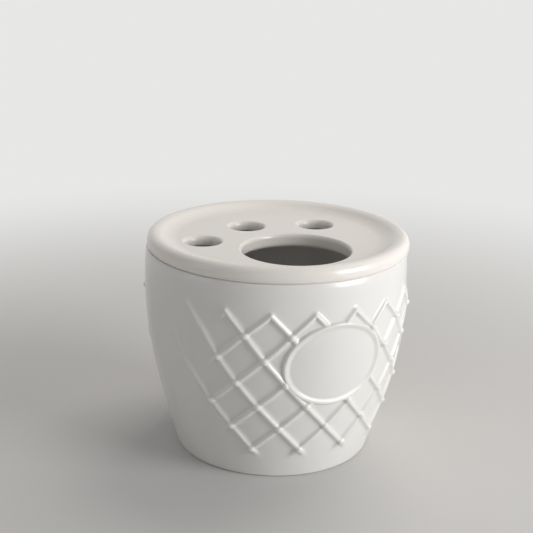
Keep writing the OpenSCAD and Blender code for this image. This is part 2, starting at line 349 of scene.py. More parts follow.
def new_piece(name, points, faces, attributes=()):
    """A mesh object at the origin, with any point attributes given as (name, kind, values)."""
    mesh = bpy.data.meshes.new(name)
    # The unrolled wall's last column has given its faces to the first, so only used points are kept
    used = sorted({k for face in faces for k in face})
    place = {k: n for n, k in enumerate(used)}
    mesh.from_pydata([points[k] for k in used], [], [[place[k] for k in face] for face in faces])
    for label, kind, values in attributes:
        layer = mesh.attributes.new(label, kind, "POINT")
        part = "vector" if kind == "FLOAT_VECTOR" else "value"
        layer.data.foreach_set(part, np.ravel([values[k] for k in used]))
    return new_object(name, mesh)


points, faces, lattice = cup_skin()
cup = new_piece("cup_skin", points, faces, [("lattice", "FLOAT_VECTOR", lattice)])
print("cup skin:", len(points), "points,", len(faces), "faces")

# %% [markdown]
# ## Raising the relief
# On the real cup the relief is cut into the mould, so it follows one rule all over the panel. Here
# Geometry Nodes hold that rule. They read each point's place in the lattice, work out how far the
# clay stands out there and push the point straight out of the wall. Modelling one rib and copying
# it would leave a seam at every crossing. A node tree for a rule like this has dozens of Math
# nodes, so a small wrapper lets it be written as arithmetic.

# %% Nodes, and arithmetic on their sockets
def set_inputs(node, inputs):
    """Sets inputs of a node, each to a value, a socket or a Field, and returns the node."""
    for key, value in inputs.items():
        value = getattr(value, "socket", value)
        if isinstance(value, bpy.types.NodeSocket):
            node.id_data.links.new(value, node.inputs[key])
        else:
            node.inputs[key].default_value = value
    return node


def add_node(tree, kind, inputs, **settings):
    """A new node with the given settings and inputs."""
    node = tree.nodes.new(kind)
    for name, value in settings.items():
        setattr(node, name, value)
    return set_inputs(node, inputs)


class Field:
    """A socket of a node tree that can be added, multiplied and so on. Each step adds one Math node."""

    def __init__(self, tree, socket):
        self.tree, self.socket = tree, socket

    def math(self, operation, *others):
        node = add_node(self.tree, "ShaderNodeMath", dict(enumerate((self,) + others)), operation=operation)
        return Field(self.tree, node.outputs[0])

    def __add__(self, other): return self.math("ADD", other)
    def __sub__(self, other): return self.math("SUBTRACT", other)
    def __mul__(self, other): return self.math("MULTIPLY", other)
    def __truediv__(self, other): return self.math("DIVIDE", other)
    def __neg__(self): return self * -1.0
    def size(self): return self.math("ABSOLUTE")
    def whole(self): return self.math("ROUND")
    def inverse(self): return self.math("POWER", -1.0)
    def least(self, other): return self.math("MINIMUM", other)
    def most(self, other): return self.math("MAXIMUM", other)
    def blend_most(self, other, over): return self.math("SMOOTH_MAX", other, over)
    def below(self, other): return self.math("LESS_THAN", other)
    def length(self, other): return (self * self + other * other).math("SQRT")

    def ease(self, start, end):
        """0 before start, 1 past end, and a smooth S between."""
        node = add_node(self.tree, "ShaderNodeMapRange", {"Value": self, "From Min": start, "From Max": end},
                        interpolation_type="SMOOTHSTEP")
        return Field(self.tree, node.outputs["Result"])


print("helpers:", set_inputs.__name__, add_node.__name__, Field.__name__)

# %% Making and running a node tree
def new_tree(name, kind, inputs, outputs):
    """A node group. Each named socket is given as its kind or, for numbers and colours, its default."""
    tree = bpy.data.node_groups.new(name, kind)
    for in_out, sockets in (("INPUT", inputs), ("OUTPUT", outputs)):
        for label, given in sockets.items():
            socket = given if isinstance(given, str) else "Color" if isinstance(given, tuple) else "Float"
            item = tree.interface.new_socket(label, in_out=in_out, socket_type="NodeSocket" + socket)
            if socket != given:
                item.default_value = given
    return tree, tree.nodes.new("NodeGroupInput"), tree.nodes.new("NodeGroupOutput")


def run_nodes(obj, tree, values):
    """Runs a Geometry Nodes tree on an object and keeps the result as its plain mesh."""
    modifier = obj.modifiers.new(tree.name, "NODES")
    modifier.node_group = tree
    for item in tree.interface.items_tree:
        if item.in_out == "INPUT" and item.name in values:
            modifier[item.identifier] = values[item.name]
    bpy.context.view_layer.update()
    depsgraph = bpy.context.evaluated_depsgraph_get()
    evaluated = obj.evaluated_get(depsgraph)
    mesh = bpy.data.meshes.new_from_object(evaluated, preserve_all_data_layers=True, depsgraph=depsgraph)
    obj.modifiers.remove(modifier)
    old, obj.data = obj.data, mesh
    bpy.data.meshes.remove(old)
    mesh.name = obj.name
    return obj


print("node groups so far:", len(bpy.data.node_groups))

# %% [markdown]
# ## The rule of the ribs
# For a rib the tree needs how far a point lies beside the nearest line and whether the line still
# runs there. A rib that rises towards a side of the cup fades where the mould parts, and one that
# falls towards it ends at the last bead. Across, a rib is a plump crest between wide soft flanks:
# glaze gathers in the corners of a relief, and a half-round bar on a plain wall would look piped on.

# %% Ribs
RIB_H, RIB_CROWN, RIB_FOOT = 1.2 * MM, 1.0 * MM, 9 * MM      # the foot is the whole width of the flanks
CROWN_POWER, CROWN_FALL = 3.0, -0.87      # of the section (1 + (distance / crown)^3)^-0.87
OUTER_LINE, OUTER_RISE = -1.5, 0.1        # lines below this one start so many steps above their peak
TAIL_START, TAIL_END = 0.06, 0.42         # steps past the last crossing between which a rib ends
SIDE_START, SIDE_END = 0.05, 0.55         # columns past the last bead between which a rib ends
FAR_LEFT, LEFT_FADE = COLUMNS, 1.5        # column at which a rising rib is gone, and how long it fades
FAR_RIGHT, RIGHT_FADE = LAST_RIGHT + 0.8, 0.7


def rib_share(size, u, v, last, far, fade):
    """Share of a rib's height for the lines with a whole v: they end past column last on the side
    they fall to, and fade out before column far on the side they rise to."""
    line = v.whole()
    start = (line - 1.0 - line.below(OUTER_LINE) * OUTER_RISE).most(-line - COLUMNS)
    stop = (-line + COLUMNS).least(line + (ROWS - 1.0)).least((CORNER - 1) / 2)
    beside = (v - line).length((start - u).most(0.0)) * STEP
    near = (beside / size["Rib crown"]).math("POWER", CROWN_POWER)
    crown = (near + 1.0).math("POWER", CROWN_FALL) * beside.ease(size["Rib foot"] * 0.5, size["Rib crown"])
    tail = (u - stop).ease(TAIL_END, TAIL_START)
    rising = (u + v).ease(-far, fade - far)
    falling = (u + v).ease(last + SIDE_END, last + SIDE_START)
    return crown * tail * rising * falling * start.below(stop) * line.size().below(CORNER / 2)


print("height of a rib 2 mm beside its middle: %.2f of its crest"
      % (1 + (2 * MM / RIB_CROWN) ** CROWN_POWER) ** CROWN_FALL)

# %% [markdown]
# ## Beads and the bare oval
# A bead sits on each crossing below the peaks, as a drop of clay would: steep at its edge and nearly
# flat on top. Beads and ribs are joined by a smooth maximum, because a sum would raise the crossings
# too far. Inside the medallion's oval the front panel stays bare.

# %% Beads and oval
BEAD_D, BEAD_H, BEAD_BLEND = 3.9 * MM, 2.2 * MM, 0.4 * MM
DOME_POWER = 0.6              # below 1 the dome is steeper at its edge than a parabola
WANE = 0.2                    # of its height that an outermost bead on the right loses with each row
MEDAL_W, MEDAL_H, MEDAL_Z, MEDAL_SIDE = 44.8 * MM, 36.6 * MM, CUP_H - 34.6 * MM, 1.7 * MM
BARE_START, BARE_END = 0.955, 0.925      # shares of the oval's size between which the lattice ends


def bead_height(size, u, v, half):
    """How far the bead on the nearest crossing stands out."""
    cross_u, cross_v = u.whole(), v.whole()
    du, dv = u - cross_u, v - cross_v
    away = ((du + dv) * half).length((du - dv) * ROW_DROP) / (size["Bead width"] * 0.5)
    row, column = cross_u - cross_v + 1.0, cross_u + cross_v
    there = (-row).below(-0.5) * row.below(ROWS + 0.5) * (row + column.size()).below(CORNER + 0.5)
    there = there * column.below(LAST_RIGHT + 0.5) * (-column).below(LAST_LEFT + 0.5)
    there = there * (-(-column).below(-LAST_LEFT - 0.5) * (row - 1.0) * WANE + 1.0)
    dome = (-(away * away) + 1.0).most(0.0).math("POWER", DOME_POWER)
    return dome * there * size["Bead height"]


def bare_share(size, u, v, half, height):
    """1 inside the medallion's oval and 0 outside it."""
    across = ((u + v) * half - MEDAL_SIDE) / (size["Medallion width"] * 0.5)
    along = (height - MEDAL_Z) / (size["Medallion height"] * 0.5)
    return across.length(along).ease(BARE_START, BARE_END)


print("middle of the oval mm above the foot:", round(MEDAL_Z / MM, 1))

# %% The relief tree
def relief_tree():
    """Geometry Nodes that raise the relief on the cup's skin and dress it in its glaze."""
    sizes = {"Rib height": RIB_H, "Rib crown": RIB_CROWN, "Rib foot": RIB_FOOT, "Bead width": BEAD_D,
             "Bead height": BEAD_H, "Medallion width": MEDAL_W, "Medallion height": MEDAL_H}
    tree, given, made = new_tree("relief", "GeometryNodeTree", {
        "Geometry": "Geometry", "Glaze": "Material", **sizes}, {"Geometry": "Geometry"})
    size = {name: Field(tree, given.outputs[name]) for name in sizes}
    place = add_node(tree, "GeometryNodeInputNamedAttribute", {"Name": "lattice"}, data_type="FLOAT_VECTOR")
    split = add_node(tree, "ShaderNodeSeparateXYZ", {0: place.outputs["Attribute"]})
    where = tree.nodes.new("GeometryNodeInputPosition").outputs[0]
    height = Field(tree, add_node(tree, "ShaderNodeSeparateXYZ", {0: where}).outputs[2])
    u, v, side = (Field(tree, split.outputs[k]) for k in range(3))
    half = half_pitch(u - v + 1.0)

    falling_right = rib_share(size, u, v, LAST_RIGHT, FAR_LEFT, LEFT_FADE)
    falling_left = rib_share(size, -v, -u, LAST_LEFT, FAR_RIGHT, RIGHT_FADE)
    panel = falling_right.most(falling_left) * size["Rib height"]
    relief = panel.blend_most(bead_height(size, u, v, half), BEAD_BLEND)
    # side is 1 on the front panel, -1 on the back one and 0 off the wall
    bare = bare_share(size, u, v, half, height) * side.most(0.0)
    relief = relief * (-bare + 1.0) * side.size()

    push = where
    for operation, other in (("MULTIPLY", {1: (1, 1, 0)}), ("NORMALIZE", {}), ("SCALE", {"Scale": relief})):
        push = add_node(tree, "ShaderNodeVectorMath", {0: push, **other}, operation=operation).outputs[0]
    clay = given.outputs["Geometry"]
    for kind, other in (("SetPosition", {"Offset": push}), ("SetShadeSmooth", {}), ("RealizeInstances", {}),
                        ("SetMaterial", {"Material": given.outputs["Glaze"]})):
        clay = add_node(tree, "GeometryNode" + kind, {"Geometry": clay, **other}).outputs[0]
    set_inputs(made, {"Geometry": clay})
    return tree


relief = relief_tree()
print("relief tree:", len(relief.nodes), "nodes")

# %% [markdown]
# ## The medallion
# The oval is laid over the lattice: a soft rim round a bare field that follows the wall. Its
# outline crosses the ribs at every angle, so it can't share their mesh. It is a skin of its own,
# drawn as rings that lie close together where the rim rises and falls and wide apart on the field,
# and it is closed at the back, inside the wall.

# %% The medallion's skin
RIM_H, FIELD_H = 1.25 * MM, 0.35 * MM
SET_IN = 0.02 * MM                                    # all of it sits this much deeper
RIM_RISE, RIM_FALL = (-0.34, 0.8), (0.95, 3.3)        # mm in from the edge
INSET = [-0.45, -0.3, -0.16, -0.03, 0.1, 0.22, 0.34, 0.46, 0.6, 0.85, 1.15, 1.4, 1.65, 1.9, 2.15,
         2.4, 2.65, 2.9, 3.15, 3.45, 4.1]             # rings, in mm in from the edge
SHARES = [0.86, 0.72, 0.58, 0.44, 0.3, 0.15]          # rings of the field, as shares of the last inset
SKIRT, BACK, BACK_SHARE = -0.6 * MM, -1.4 * MM, 0.97  # the first ring and the back lie in the wall
OVAL_POINTS = 160


def ease(x, start, end):
    """0 before start, 1 past end, and a smooth S between."""
    t = min(1.0, max(0.0, (x - start) / (end - start)))
    return t * t * (3 - 2 * t)


def medallion_lift(inset):
    """How far the medallion stands out of the wall at a distance (mm) in from its edge."""
    if inset == INSET[0]:
        return SKIRT
    return RIM_H * ease(inset, *RIM_RISE) - (RIM_H - FIELD_H) * ease(inset, *RIM_FALL) - SET_IN


def medallion_skin():
    """The medallion as points and faces."""
    rings = [(d * MM, medallion_lift(d), 1.0) for d in INSET]
    rings += [(INSET[-1] * MM, FIELD_H - SET_IN, share) for share in SHARES]
    a, b = MEDAL_W / 2, MEDAL_H / 2
    points, faces, n = [], [], OVAL_POINTS
    for inset, lift, share in rings + [(INSET[0] * MM, BACK, BACK_SHARE)]:
        for k in range(n):
            t = 2 * math.pi * k / n
            slope = math.hypot(b * math.cos(t), a * math.sin(t))
            x = share * (a * math.cos(t) - inset * b * math.cos(t) / slope)
            z = MEDAL_Z + share * (b * math.sin(t) - inset * a * math.sin(t) / slope)
            points.append(on_wall((MEDAL_SIDE + x) / wall_radius(z), z, lift))
    for first in range(0, (len(rings) - 1) * n, n):
        faces += band(range(first, first + n), range(first + n, first + 2 * n))
    back, last = len(rings) * n, (len(rings) - 1) * n
    middle = MEDAL_SIDE / wall_radius(MEDAL_Z)
    points += [on_wall(middle, MEDAL_Z, FIELD_H - SET_IN), on_wall(middle, MEDAL_Z, BACK)]
    for k in range(n):
        m = (k + 1) % n
        faces.append([last + k, last + m, len(points) - 2])
        faces.append([back + m, back + k, len(points) - 1])
        faces.append([m, k, back + k, back + m])
    return points, faces


medallion = new_piece("medallion_skin", *medallion_skin())
print("medallion:", len(medallion.data.polygons), "faces")

# %% [markdown]
# ## The lid
# The lid is a disc with a rounded border that slopes down, in two arcs, to a sunk field. Its holes
# lie off its axis, so it cannot be turned as a whole. The border, the plug and the walls of the
# holes are turned separately, each round its own axis, and the flat faces between them are filled
# by the same triangulation as before. Underneath, the plug's ring and the collar round the large
# opening leave a moon-shaped recess. Cutting the holes with booleans would leave edges that no
# bevel could round this evenly.

# %% Sizes of the lid
LID_H, LID_EDGE, LID_UNDER_EDGE, OVERHANG = 6.4 * MM, 3.3 * MM, 1.8 * MM, 0.2 * MM
CREST_EDGE, FIELD_DEPTH, BORDER_RUN, PLATE = 6 * MM, 3.2 * MM, 10 * MM, 4.4 * MM
PLUG_H, PLUG_W, PLUG_EDGE, PLUG_GAP, COLLAR_W = 2.9 * MM, 5.8 * MM, 1 * MM, 0.5 * MM, 4 * MM
LID_TURN, SLIP, SLIP_TO = math.radians(7.1), 1 * MM, math.radians(-73)
HOLE_R, HOLE_EDGE, HOLE_UNDER_EDGE = 7.35 * MM, 1.5 * MM, 0.8 * MM
OPENING_R, OPENING_EDGE, OPENING_UNDER_EDGE = 22.4 * MM, 1.15 * MM, 2 * MM
OPENING_POINTS, HOLE_POINTS = 144, 80
LIP_DEPTH = 1.7       # the upper roundings reach this much further down than in
OPENING_OFF, HOLES_SIDE, HOLE_REACH, HOLE_STEP = 18.2 * MM, -2.6 * MM, 39.9 * MM, math.radians(45.1)

LID_R = wall_radius(CUP_H) + OVERHANG
PLUG_R = wall_radius(CUP_H) - WALL - SLIP - PLUG_GAP
CREST_R, CREST_Z = LID_R - LID_EDGE, CUP_H + LID_H
FIELD_Z = CREST_Z - FIELD_DEPTH
UNDER_Z, PLUG_Z = FIELD_Z - PLATE, CUP_H - PLUG_H
print("lid mm: radius", round(LID_R / MM, 1), "top", round(CREST_Z / MM, 1), "field", round(FIELD_Z / MM, 1))

# %% The holes and the recess
GUARD_WIDE, GUARD_NARROW = 0.3 * MM, 0.1 * MM      # from a rounding to the ring that keeps a flat flat
RECESS_EDGE, RECESS_POINTS = 0.2 * MM, 160         # rounding, and points on each of the two arcs


def turned_point(x, y, turn):
    """A place on the plan, carried round the holder's axis."""
    c, s = math.cos(turn), math.sin(turn)
    return (c * x - s * y, s * x + c * y)


def lid_holes():
    """Middle, radius, upper and lower rounding, lower end and number of points of each hole."""
    middles = [(HOLES_SIDE, -OPENING_OFF)]
    for step in (-HOLE_STEP, 0, HOLE_STEP):
        middles.append((HOLES_SIDE + HOLE_REACH * math.sin(step), HOLE_REACH * math.cos(step) - OPENING_OFF))
    large = (OPENING_R, OPENING_EDGE, OPENING_UNDER_EDGE, PLUG_Z, OPENING_POINTS)
    small = (HOLE_R, HOLE_EDGE, HOLE_UNDER_EDGE, UNDER_Z, HOLE_POINTS)
    return [(turned_point(*middle, LID_TURN), *kind) for middle, kind in zip(middles, [large] + 3 * [small])]


def recess(grow):
    """Outline of the recess under the lid: inside the plug's ring and outside the collar."""
    n = RECESS_POINTS
    (x, y), collar_r, ring_r = lid_holes()[0][0], OPENING_R + COLLAR_W - grow, PLUG_R - PLUG_W + grow
    off, towards = math.hypot(x, y), math.atan2(y, x)
    # Where the two circles cross, as angles seen from the lid's middle and from the opening's
    a = math.acos((ring_r ** 2 + off ** 2 - collar_r ** 2) / (2 * ring_r * off))
    b = math.acos((ring_r ** 2 - off ** 2 - collar_r ** 2) / (2 * collar_r * off))
    long_way = [towards + a + 2 * (math.pi - a) * k / n for k in range(n)]
    back = [towards - b - 2 * (math.pi - b) * k / n for k in range(n)]
    return ([(ring_r * math.cos(t), ring_r * math.sin(t)) for t in long_way]
            + [(x + collar_r * math.cos(t), y + collar_r * math.sin(t)) for t in back])


print("middles of the holes mm:", [[round(v / MM, 1) for v in hole[0]] for hole in lid_holes()])

# %% The lid's skin
def encloses(ring, x, y):
    """True where a closed outline lies round a point."""
    here, ahead = ring, np.roll(ring, -1, axis=0)
    crosses = (here[:, 1] > y) != (ahead[:, 1] > y)
    with np.errstate(divide="ignore", invalid="ignore"):
        at = here[:, 0] + (y - here[:, 1]) * (ahead[:, 0] - here[:, 0]) / (ahead[:, 1] - here[:, 1])
    return np.count_nonzero(crosses & (at > x)) % 2 == 1


def fill_flat(points, faces, outer, inner, up=True):
    """Triangles between an outer ring and the rings of the holes, all at one height."""
    used = list(outer) + [k for ring in inner for k in ring]
    place = {k: n for n, k in enumerate(used)}
    edges = [(place[a], place[b]) for ring in [outer] + inner for a, b in zip(ring, ring[1:] + ring[:1])]
    flat = [(points[k][0] / MM, points[k][1] / MM) for k in used]
    border, *gaps = [np.array([points[k][:2] for k in ring]) for ring in [outer] + inner]
    for face in triangles_between(flat, edges):
        ring = [used[k] for k in face]
        x, y = np.mean([points[k][:2] for k in ring], axis=0)
        if encloses(border, x, y) and not any(encloses(gap, x, y) for gap in gaps):
            faces.append(ring if turns_left([points[k] for k in ring]) == up else ring[::-1])


def recess_walls(points, faces):
    """The walls of the recess with softened edges, and their lowest and highest rings."""
    rings, soft = [], RECESS_EDGE
    for grow, z in ((2.5 * soft, PLUG_Z), (soft, PLUG_Z), (0, PLUG_Z + soft),
                    (0, UNDER_Z - soft), (-soft, UNDER_Z), (-2.5 * soft, UNDER_Z)):
        first = len(points)
        points += [(x, y, z) for x, y in recess(grow)]
        rings.append(list(range(first, len(points))))
    for low, high in zip(rings, rings[1:]):
        faces += band(high, low)
    return rings[0], rings[-1]


def lid_skin():
    """The whole lid as points and faces, slid to where it lies on the cup."""
    points, faces = [], []
    guard, close = GUARD_WIDE, GUARD_NARROW
    tilt = 2 * math.degrees(math.atan(FIELD_DEPTH / BORDER_RUN))
    cove = BORDER_RUN / math.sin(math.radians(tilt)) - CREST_EDGE
    foot_r = CREST_R - BORDER_RUN
    outer = new_ring(points, foot_r - close, FIELD_Z, AROUND)
    rest = ([(foot_r, FIELD_Z)] + arc(foot_r, FIELD_Z + cove, cove, -90, tilt - 90, 18)
            + arc(CREST_R, CREST_Z - CREST_EDGE, CREST_EDGE, 90 + tilt, 90, 12)
            + arc(CREST_R, CREST_Z - LID_EDGE, LID_EDGE, 90, 0, 16) + [(LID_R, CUP_H + LID_UNDER_EDGE)]
            + arc(LID_R - LID_UNDER_EDGE, CUP_H + LID_UNDER_EDGE, LID_UNDER_EDGE, 0, -90)
            + [(LID_R - LID_UNDER_EDGE - guard, CUP_H), (PLUG_R + guard, CUP_H), (PLUG_R, CUP_H - close)]
            + [(PLUG_R, PLUG_Z + PLUG_EDGE)] + arc(PLUG_R - PLUG_EDGE, PLUG_Z + PLUG_EDGE, PLUG_EDGE, 0, -90)
            + [(PLUG_R - PLUG_EDGE - guard, PLUG_Z)])
    under = turned(points, faces, outer, rest, flip=True)
    tops, bottoms = [], []
    for centre, r, edge, under_edge, low, n in lid_holes():
        ring = new_ring(points, r + edge + close, FIELD_Z, n, centre)
        tops.append(ring)
        lip = [(x, FIELD_Z + (z - FIELD_Z) * LIP_DEPTH)
               for x, z in arc(r + edge, FIELD_Z - edge, edge, 90, 180, 12)]
        foot = arc(r + under_edge, low + under_edge, under_edge, 180, 270)
        wall_of_hole = ([(r + edge, FIELD_Z)] + lip + [(r, low + under_edge)] + foot
                        + [(r + under_edge + guard, low)])
        bottoms.append(turned(points, faces, ring, wall_of_hole, centre=centre))
    lowest, highest = recess_walls(points, faces)
    fill_flat(points, faces, outer, tops)
    fill_flat(points, faces, under, [lowest, bottoms[0]], up=False)
    fill_flat(points, faces, highest, bottoms[1:], up=False)
    aside, ahead = SLIP * math.cos(SLIP_TO), SLIP * math.sin(SLIP_TO)
    return [(x + aside, y + ahead, z) for x, y, z in points], faces


lid = new_piece("lid_skin", *lid_skin())
print("lid:", len(lid.data.polygons), "faces, field at mm", round(FIELD_Z / MM, 2))

# %% [markdown]
# ## Painted highlights on edges and painted shade in corners
# The glaze's colour carries painted light: it is made a little lighter and warmer on sharp edges,
# as a painted highlight, and a little darker and cooler in corners, as painted shade. Each point
# therefore gets a number for how sharply the skin bends there, above zero on edges and below zero
# in corners. It is measured once on the finished mesh and kept as an attribute. A shader's own
# pointiness would do in a still, but it depends on the mesh's density and can be lost when the
# model leaves Blender.

# %% Bend of the skin at each point
REACH, SMOOTHING = 0.55 * MM, 2      # a bend of this radius counts as sharp; passes that even it out


def read(items, name, width, kind=float):
    """A value of every point or edge of a mesh, as rows."""
    values = np.zeros(len(items) * width, kind)
    items.foreach_get(name, values)
    return values.reshape(-1, width)


# The bend drives the glaze's painted highlight on edges and painted shade in corners
def store_bend(obj):
    """Keeps a point attribute called bend, from -1 in a corner to 1 on an edge."""
    mesh = obj.data
    n = len(mesh.vertices)
    at, facing = read(mesh.vertices, "co", 3), read(mesh.vertex_normals, "vector", 3)
    a, b = read(mesh.edges, "vertices", 2, int).T
    ray = at[b] - at[a]
    long = np.maximum(np.linalg.norm(ray, axis=1), 1e-6)
    total, count = np.zeros(n), np.zeros(n)
    for here, sign in ((a, 1.0), (b, -1.0)):
        bent = -2 * np.einsum("ij,ij->i", ray * sign, facing[here]) / long ** 2
        np.add.at(total, here, bent)
        np.add.at(count, here, 1)
    bend = np.tanh(total / np.maximum(count, 1) * REACH)
    for _ in range(SMOOTHING):
        total, count = bend.copy(), np.ones(n)
        for here, there in ((a, b), (b, a)):
            np.add.at(total, here, bend[there])
            np.add.at(count, here, 1)
        bend = total / count
    layer = mesh.attributes.new("bend", "FLOAT", "POINT")
    layer.data.foreach_set("value", bend.astype(np.float32))
    return bend.min(), bend.max()


print("lid's points for it:", len(lid.data.vertices), "edges:", len(lid.data.edges))

# %% [markdown]
# ## The glaze
# White opaque glaze is a dielectric gloss over a pale body. Three things keep it from looking like
# plastic: it is never quite level, so reflections waver; its gloss varies a little where it cooled
# unevenly; and its tone varies a little in soft clouds. On top of that its colour carries painted
# light, a painted highlight on edges and painted shade in corners. Two node groups hold these
# effects, one for the unevenness and one for the painted highlight and shade, and each material
# places them with its own values.

# %% Group for the uneven surface
PIT_SHARE, CLOUD_SIZE = 0.012, 2.3      # the pits' height and the clouds' size, next to the waves'


def uneven_group():
    """Height, roughness and cloudiness of a glaze. Sizes are metres of the object."""
    tree, given, made = new_tree("glaze_unevenness", "ShaderNodeTree", {
        "Wave size": 0.02, "Pit size": 0.0012, "Roughness": 0.1, "Variation": 0.04}, {
        "Height": "Float", "Roughness": "Float", "Cloud": "Float"})
    place = tree.nodes.new("ShaderNodeTexCoord").outputs["Object"]
    wave_size, pit_size, roughness, variation = (Field(tree, given.outputs[k]) for k in range(4))

    def noise(size, detail):
        inputs = {"Vector": place, "Scale": size.inverse(), "Detail": detail}
        return Field(tree, add_node(tree, "ShaderNodeTexNoise", inputs).outputs["Fac"])

    cloud = noise(wave_size * CLOUD_SIZE, 3.0)
    set_inputs(made, {"Height": noise(wave_size, 1.0) + noise(pit_size, 2.0) * PIT_SHARE,
                      "Roughness": roughness + (cloud - 0.5) * variation * 2.0, "Cloud": cloud})
    return tree


UNEVEN = uneven_group()
print("group:", UNEVEN.name, [item.name for item in UNEVEN.interface.items_tree])

# %% Group for the painted highlight on edges and the painted shade in corners
CLOUD_SHARE = 0.35            # how much of the shade colour a cloud brings as random tone, where a corner brings all of it as painted shade


def highlight_and_shade_group():
    """Colour of a glaze: its own colour, a lighter one painted on edges as a highlight, and a darker one
    painted in corners as shade, which clouds also bring in at random.
    """
    tree, given, made = new_tree("glaze_highlight_and_shade", "ShaderNodeTree", {
        "Body": (0.8, 0.8, 0.8, 1), "Edge highlight": (0.8, 0.78, 0.74, 1), "Corner shade and cloud": (0.7, 0.72, 0.74, 1),
        "Bend": 0.0, "Cloud": 0.5}, {"Colour": "Color"})
    bend, cloud = Field(tree, given.outputs["Bend"]), Field(tree, given.outputs["Cloud"])

    def mix(factor, first, second):
        inputs = {"Factor": factor, 6: first, 7: second}      # 6 and 7 are the Mix node's two colours
        return add_node(tree, "ShaderNodeMix", inputs, data_type="RGBA").outputs[2]

    # Edges get a painted highlight and corners painted shade; clouds add a random darker tone
    highlight_share = bend.most(0.0).least(1.0)
    shade_and_cloud_share = (-bend).most(0.0).least(1.0) + (cloud - 0.5).most(0.0) * CLOUD_SHARE
    colour = mix(highlight_share, given.outputs["Body"], given.outputs["Edge highlight"])
    set_inputs(made, {"Colour": mix(shade_and_cloud_share.least(1.0), colour, given.outputs["Corner shade and cloud"])})
    return tree


HIGHLIGHT_AND_SHADE = highlight_and_shade_group()
print("group:", HIGHLIGHT_AND_SHADE.name, [item.name for item in HIGHLIGHT_AND_SHADE.interface.items_tree])

# %% [markdown]
# ## The two glazes and the bare clay
# Lid and cup were glazed apart: the lid came out a little warmer and less glossy. Both are the same
# function with other values. The ring that the cup stands on has no glaze, so it is dull and grainy.

# %% Glazes and clay
GRAINS = 1400                 # of the clay, per metre
CLAY_TINTS = ((0.35, (0.55, 0.51, 0.44)), (0.65, (0.72, 0.69, 0.62)))


def new_material(name):
    """A material, its node tree and its Principled BSDF."""
    material = bpy.data.materials.new(name)
    material.use_nodes = True
    return material, material.node_tree, material.node_tree.nodes["Principled BSDF"]


def glaze(name, body, edge_highlight, corner_shade_and_cloud, roughness, wave_size, bump):
    """An opaque white glaze: its own colour, a painted highlight colour for edges and a painted shade colour
    for corners and clouds. Its waves have a size and a height, in metres.
    """
    material, tree, shader = new_material(name)
    uneven = add_node(tree, "ShaderNodeGroup", {"Wave size": wave_size, "Roughness": roughness},
                      node_tree=UNEVEN)
    bend = add_node(tree, "ShaderNodeAttribute", {}, attribute_name="bend")
    # The bend paints a highlight on edges and shade in corners of this glaze
    painted_colour = add_node(tree, "ShaderNodeGroup", {
        "Body": (*body, 1), "Edge highlight": (*edge_highlight, 1), "Corner shade and cloud": (*corner_shade_and_cloud, 1), "Bend": bend.outputs["Fac"],
        "Cloud": uneven.outputs["Cloud"]}, node_tree=HIGHLIGHT_AND_SHADE)
    height = add_node(tree, "ShaderNodeBump", {"Distance": bump, "Height": uneven.outputs["Height"]})
    set_inputs(shader, {"Base Color": painted_colour.outputs["Colour"], "Roughness": uneven.outputs["Roughness"],
                        "Normal": height.outputs["Normal"], "IOR": 1.52})
    return material


def bare_clay():
    """Fired clay without glaze, for the ring that the cup stands on."""
    material, tree, shader = new_material("bare_clay")
    place = tree.nodes.new("ShaderNodeTexCoord").outputs["Object"]
    grain = add_node(tree, "ShaderNodeTexNoise", {"Vector": place, "Scale": GRAINS, "Detail": 4})
    tint = add_node(tree, "ShaderNodeValToRGB", {"Fac": grain.outputs["Fac"]})
    for stop, (at, colour) in zip(tint.color_ramp.elements, CLAY_TINTS):
        stop.position, stop.color = at, (*colour, 1)
    height = add_node(tree, "ShaderNodeBump", {"Distance": 0.08 * MM, "Height": grain.outputs["Fac"]})
    set_inputs(shader, {"Base Color": tint.outputs["Color"], "Roughness": 0.85,
                        "Normal": height.outputs["Normal"]})
    return material


# Each glaze has a lighter colour painted on edges as a highlight and a darker one painted in corners as
# shade
cup_glaze = glaze("cool_white_glaze", body=(0.745, 0.735, 0.715), edge_highlight=(0.84, 0.825, 0.795),
                  corner_shade_and_cloud=(0.62, 0.62, 0.61), roughness=0.18, wave_size=22 * MM, bump=0.22 * MM)
lid_glaze = glaze("warm_white_glaze", body=(0.81, 0.775, 0.73), edge_highlight=(0.83, 0.795, 0.75),
                  corner_shade_and_cloud=(0.71, 0.68, 0.64), roughness=0.22, wave_size=18 * MM, bump=0.2 * MM)
clay = bare_clay()
print("materials:", cup_glaze.name, lid_glaze.name, clay.name)

# %% [markdown]
# ## Finishing the pieces
# Now the relief tree runs on the cup, every piece gets its bend attribute and its material, and the
# ring that the cup stands on is left as bare clay: glaze there would stick to the kiln shelf.

# %% Run the relief and dress the pieces
FACING_DOWN, STANDING = -0.9, 0.1 * MM      # bare clay is where the cup faces down and nearly touches

run_nodes(cup, relief, {"Glaze": cup_glaze})
cup.data.materials.append(clay)
for face in cup.data.polygons:
    if face.normal.z < FACING_DOWN and face.center.z < STANDING:
        face.material_index = 1
for piece, material in ((medallion, cup_glaze), (lid, lid_glaze)):
    piece.data.materials.append(material)
    piece.data.shade_smooth()
for piece in (cup, medallion, lid):
    print(piece.name, "bend", [round(float(b), 2) for b in store_bend(piece)], "triangles",
          sum(len(f.vertices) - 2 for f in piece.data.polygons))

# %% [markdown]
# ## Joining the frame
# The skins take the places of the two solids and ride on the same bodies, so the lid lifts off as
# the measured one does.

# %% Ride and replace
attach(cup, "cup")
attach(medallion, "cup")
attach(lid, "lid")
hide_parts("cup")
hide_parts("lid")
print("riding:", [piece.name for piece in (cup, medallion, lid)])

